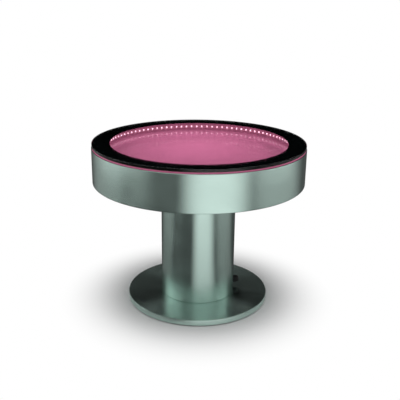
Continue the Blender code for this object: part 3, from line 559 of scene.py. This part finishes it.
def dress_nodes(nodes):
    """Give each solid that stays in view its finish."""
    # Bright plating on the fasteners, duller and more clouded on the rolled sheet
    zinc = plated_steel("zinc_plated_fasteners", "B9BDBF", 0.32, 1.5)
    pan = plated_steel("zinc_plated_sheet", "A9AEB1", 0.42, 6.0)
    # Plain plate is darker than the zinc, and the sand-cast weight nearly black, rough and blotchy
    mild = grained("mild_steel_plate", "6F7478", 0.5, 1.5, 0.04, metallic=1.0)
    iron = grained("cast_iron_weight", "2E3032", 0.68, 2.0, 0.3, metallic=0.6, spread=0.35)
    # Rubber is a dull grey black, nylon a deep one with a soft sheen
    rubber = grained("moulded_rubber", "1C1C1D", 0.82, 0.8, 0.04)
    nylon = grained("moulded_nylon", "050506", 0.62, 0.6, 0.02)
    # The supply's case is pale satin metal, the controller's an even warm white
    aluminium = grained("cast_aluminium_case", "AEB2B4", 0.4, 0.9, 0.05, metallic=1.0, spread=0.08)
    plastic = grained("moulded_white_case", "E4E4E0", 0.5, 0.8, 0.03, spread=0.03)
    # The leads' soft skin catches a long satin highlight
    black_sheath = grained("black_pvc_sheath", "171717", 0.5, 1.2, 0.02)
    white_sheath = grained("white_pvc_sheath", "DADAD6", 0.5, 1.2, 0.02, spread=0.04)
    finishes = {"pan_screw": zinc, "top_bolt": zinc, "base_bolt": zinc, "supply_screw": zinc,
                "controller_screw": zinc, "drum_floor": pan, "column_top_plate": mild,
                "column_bottom_plate": mild, "base_weight": iron, "floor_pad": rubber,
                "lead_grommet": rubber, "gland_lock_nut": nylon, "power_supply": aluminium,
                "light_controller": plastic, "supply_lead": black_sheath,
                "low_voltage_lead": black_sheath, "strip_lead": white_sheath}
    for name, node in nodes.items():
        for start, finish in finishes.items():
            if name.startswith(start):
                node.data.materials.clear()
                node.data.materials.append(finish)
    return rubber, nylon


def make_camera():
    """The photograph's view: a little above the glass, square to the front."""
    data = bpy.data.cameras.new("photo_camera")
    data.sensor_width = SENSOR_WIDTH
    data.lens = FOCAL_PIXELS / IMAGE_SIZE * SENSOR_WIDTH
    data.shift_x = (IMAGE_SIZE / 2 - CENTRE_PIXEL[0]) / IMAGE_SIZE
    data.shift_y = (CENTRE_PIXEL[1] - IMAGE_SIZE / 2) / IMAGE_SIZE
    camera = bpy.data.objects.new("photo_camera", data)
    away = Vector((0, -math.cos(CAMERA_ELEVATION), math.sin(CAMERA_ELEVATION)))
    camera.location = Vector((0, 0, CAMERA_AIM_HEIGHT)) + away * CAMERA_DISTANCE
    level = away.to_track_quat("Z", "Y")
    camera.rotation_mode = "QUATERNION"
    camera.rotation_quaternion = Quaternion(away, CAMERA_ROLL) @ level
    bpy.context.scene.collection.objects.link(camera)
    bpy.context.scene.camera = camera


def seen_straight(tree):
    """1 for what the camera sees, directly or in metal and glass, and 0 for the light on matt things."""
    path = add_node(tree, "ShaderNodeLightPath")
    seen = add_node(tree, "ShaderNodeMath", {0: path.outputs["Is Camera Ray"],
                                             1: path.outputs["Is Glossy Ray"]}, operation="MAXIMUM")
    return add_node(tree, "ShaderNodeMath", {0: seen.outputs[0], 1: path.outputs["Is Transmission Ray"]},
                    operation="MAXIMUM").outputs[0]


def make_world(level):
    """Even light from all round; the camera, metal and glass see it as a white background."""
    world = bpy.data.worlds.new("studio_world")
    bpy.context.scene.world = world
    world.use_nodes = True
    tree = world.node_tree
    tree.nodes.clear()
    output = add_node(tree, "ShaderNodeOutputWorld")
    strength = add_node(tree, "ShaderNodeMapRange", {"Value": seen_straight(tree), "To Min": level,
                                                     "To Max": 1.0})
    background = add_node(tree, "ShaderNodeBackground", {"Color": colour("FFFFFF"),
                                                         "Strength": strength.outputs[0]})
    tree.links.new(background.outputs[0], output.inputs["Surface"])


def make_floor():
    """Pale floor that keeps the table's shadow near the base; painted white fades it out into the white
    background.
    """
    material, tree, output = new_material("pale_studio_floor")
    place = add_node(tree, "ShaderNodeTexCoord").outputs["Object"]
    reach = add_node(tree, "ShaderNodeVectorMath", {0: place}, operation="LENGTH")
    # painted white light over the cast shadow, from none at 0.20 m off the axis to full at 0.42 m
    fade = add_node(tree, "ShaderNodeMapRange", {"Value": reach.outputs["Value"], "From Min": 0.20,
                                                 "From Max": 0.42}, interpolation_type="SMOOTHSTEP")
    pale = add_node(tree, "ShaderNodeBsdfDiffuse", {"Color": colour("FCFCFC")})
    white = add_node(tree, "ShaderNodeEmission", {"Color": colour("FFFFFF"), "Strength": 1.0})
    share = add_node(tree, "ShaderNodeMath", {0: seen_straight(tree), 1: fade.outputs[0]},
                     operation="MULTIPLY")
    mix = add_node(tree, "ShaderNodeMixShader", {0: share.outputs[0], 1: pale.outputs[0],
                                                 2: white.outputs[0]})
    tree.links.new(mix.outputs[0], output.inputs["Surface"])
    bm = bmesh.new()
    bmesh.ops.create_circle(bm, cap_ends=True, segments=96, radius=6.0)
    finished(bm, "studio_floor", material, None)


def softbox_glow(tree, toward, height, softbox, rest):
    """Light of one softbox of the tent, even inside it and fading out at its edges, over the rest."""
    turned, half_width, low, high, level = softbox
    aim = (math.sin(math.radians(turned)), -math.cos(math.radians(turned)), 0)
    facing = add_node(tree, "ShaderNodeVectorMath", {0: toward, 1: aim}, operation="DOT_PRODUCT")
    across = add_node(tree, "ShaderNodeMapRange", {
        "Value": facing.outputs["Value"], "To Max": level,
        "From Min": math.cos(math.radians(half_width + SOFTBOX_EDGE)),
        "From Max": math.cos(math.radians(max(0.0, half_width - SOFTBOX_EDGE)))},
        interpolation_type="SMOOTHSTEP")
    over = add_node(tree, "ShaderNodeMapRange", {"Value": height, "From Min": low - SOFTBOX_RIM,
                                                 "From Max": low}, interpolation_type="SMOOTHSTEP")
    under = add_node(tree, "ShaderNodeMapRange", {
        "Value": height, "From Min": high, "From Max": high + SOFTBOX_RIM, "To Min": 1.0,
        "To Max": 0.0}, interpolation_type="SMOOTHSTEP")
    tall = add_node(tree, "ShaderNodeMath", {0: over.outputs[0], 1: under.outputs[0]},
                    operation="MULTIPLY")
    return add_node(tree, "ShaderNodeMath", {0: across.outputs[0], 1: tall.outputs[0], 2: rest},
                    operation="MULTIPLY_ADD").outputs[0]


def make_tent():
    """Long oval light tent round the table, which only metal and glass see.

    Plain grey cloth with white softboxes, dimmer on the floor toward the table. In front the cloth
    reaches higher than behind, where it would show in the glass. A lit top and a roof light close it.
    """
    material, tree, output = new_material("tent_panels")
    place = add_node(tree, "ShaderNodeTexCoord").outputs["Object"]
    parts = add_node(tree, "ShaderNodeSeparateXYZ", {0: place})
    flat = add_node(tree, "ShaderNodeCombineXYZ", {0: parts.outputs[0], 1: parts.outputs[1]})
    reach = add_node(tree, "ShaderNodeVectorMath", {0: flat.outputs[0]}, operation="LENGTH")
    outward = add_node(tree, "ShaderNodeMath", {0: parts.outputs[2], 1: 2.0, 2: reach.outputs["Value"]},
                       operation="MULTIPLY_ADD")
    limit = add_node(tree, "ShaderNodeMapRange", {
        "Value": parts.outputs[1], "From Min": -1.0, "From Max": -0.2, "To Min": PANEL_HEIGHT_FRONT,
        "To Max": PANEL_HEIGHT_SIDE}, interpolation_type="SMOOTHSTEP")
    behind = add_node(tree, "ShaderNodeMapRange", {
        "Value": parts.outputs[1], "From Min": 0.7, "From Max": 1.25, "To Min": limit.outputs[0],
        "To Max": PANEL_HEIGHT_BACK}, interpolation_type="SMOOTHSTEP")
    edge = add_node(tree, "ShaderNodeMath", {0: parts.outputs[2], 1: behind.outputs[0]},
                    operation="SUBTRACT")
    toward = add_node(tree, "ShaderNodeVectorMath", {0: flat.outputs[0]}, operation="NORMALIZE")
    glow = CLOTH_LEVEL
    for softbox in SOFTBOXES:
        glow = softbox_glow(tree, toward.outputs[0], parts.outputs[2], softbox, glow)
    dimmed = add_node(tree, "ShaderNodeMapRange", {
        "Value": outward.outputs[0], "From Min": 0.3, "From Max": 1.1, "To Min": FLOOR_SHARE,
        "To Max": 1.0}, interpolation_type="SMOOTHSTEP")
    glow = add_node(tree, "ShaderNodeMath", {0: glow, 1: dimmed.outputs[0]}, operation="MULTIPLY")
    wall = add_node(tree, "ShaderNodeMapRange", {"Value": edge.outputs[0], "From Max": 0.1,
                                                 "To Min": TENT_GAIN, "To Max": 0.0},
                    interpolation_type="SMOOTHSTEP")
    ceiling = add_node(tree, "ShaderNodeMapRange", {"Value": parts.outputs[2], "From Min": 1.0,
                                                    "From Max": 1.12, "To Max": CEILING_GAIN},
                       interpolation_type="SMOOTHSTEP")
    roof = add_node(tree, "ShaderNodeMapRange", {"Value": parts.outputs[2], "From Min": 1.45,
                                                 "From Max": 1.6, "To Max": ROOF_GAIN},
                    interpolation_type="SMOOTHSTEP")
    top_level = add_node(tree, "ShaderNodeMath", {0: ceiling.outputs[0], 1: roof.outputs[0]},
                         operation="ADD")
    level = add_node(tree, "ShaderNodeMath", {0: glow.outputs[0], 1: wall.outputs[0],
                                              2: top_level.outputs[0]}, operation="MULTIPLY_ADD")
    white = add_node(tree, "ShaderNodeEmission", {"Color": colour("FFFFFF"),
                                                  "Strength": level.outputs[0]})
    tree.links.new(white.outputs[0], output.inputs["Surface"])
    material.cycles.emission_sampling = "NONE"
    oval_from, oval_to, oval_stretch, floor_height = 0.34, 0.79, 0.333, 0.005
    outline = [(0.23, 0.001), (oval_from, 0.001), (0.5, 0.001), (0.65, 0.0015), (oval_to, 0.002),
               (0.97, 0.01), (1.03, 0.06), (1.05, 0.3), (1.05, 0.6), (1.05, 1.1), (0.95, 1.4),
               (0.6, 1.6), (0.0, 1.65)]
    bm = spun(outline, 96, closed=False)
    for vertex in bm.verts:
        share = (vertex.co.xy.length - oval_from) / (oval_to - oval_from)
        if vertex.co.z > floor_height:
            share = 1.0
        vertex.co.y *= 1.0 + oval_stretch * max(0.0, min(1.0, share))
    tent = finished(bm, "studio_tent", material, None)
    tent.visible_camera = False
    tent.visible_diffuse = False
    tent.visible_shadow = False


def add_softbox(name, location, target, size, power):
    """Square light that metal and glass don't mirror: it gives the floor its soft shadow."""
    data = bpy.data.lights.new(name, "AREA")
    data.size = size
    data.energy = power
    lamp = bpy.data.objects.new(name, data)
    lamp.location = location
    lamp.rotation_euler = (Vector(location) - Vector(target)).to_track_quat("Z", "Y").to_euler()
    bpy.context.scene.collection.objects.link(lamp)
    lamp.visible_glossy = False


bpy.context.scene.view_settings.view_transform = "Standard"
make_camera()
make_world(WORLD_LEVEL)
make_floor()
make_tent()
add_softbox("overhead_softbox", (0, -0.2, 2.4), (0, 0, 0), 1.6, OVERHEAD_POWER)

rubber, nylon = dress_nodes(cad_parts)
# The rolled steel shows clear bright bands, the spun base softer ones
steel = satin_steel("brushed_stainless_steel", 0.20)
spun_steel = satin_steel("spun_stainless_steel", 0.23)
# The glass is clear with a breath of green; the cloudy seal carries the lamps' pink to its edge as a
# painted pink tint and glow
glass = clear_solid("float_glass", "EEF6F3", 0.0, 1.5)
seal_clear = clear_solid("clear_silicone", "F6D9E3", 0.25, 1.43, "D77C9E", 0.12)
make_glass(glass, black_band("fired_black_ink"))
make_seal(seal_clear)
make_tray(lit_opal("lit_opal_acrylic"))
# White strip and housings: pink colour and glow painted for the lamps' light; the lenses are the brightest
# points
make_strip(glowing("pink_lit_strip", "D98CAB", "B86485", 0.5),
           glowing("lamp_housing", "F4D3E0", "E9A5C2", 0.8),
           glowing("lamp_lens", "FFD9E8", "FFA3C9", 4.6, 0.15))
make_drum(steel)
make_column(steel)
make_base(spun_steel)
make_gland(nylon, rubber)
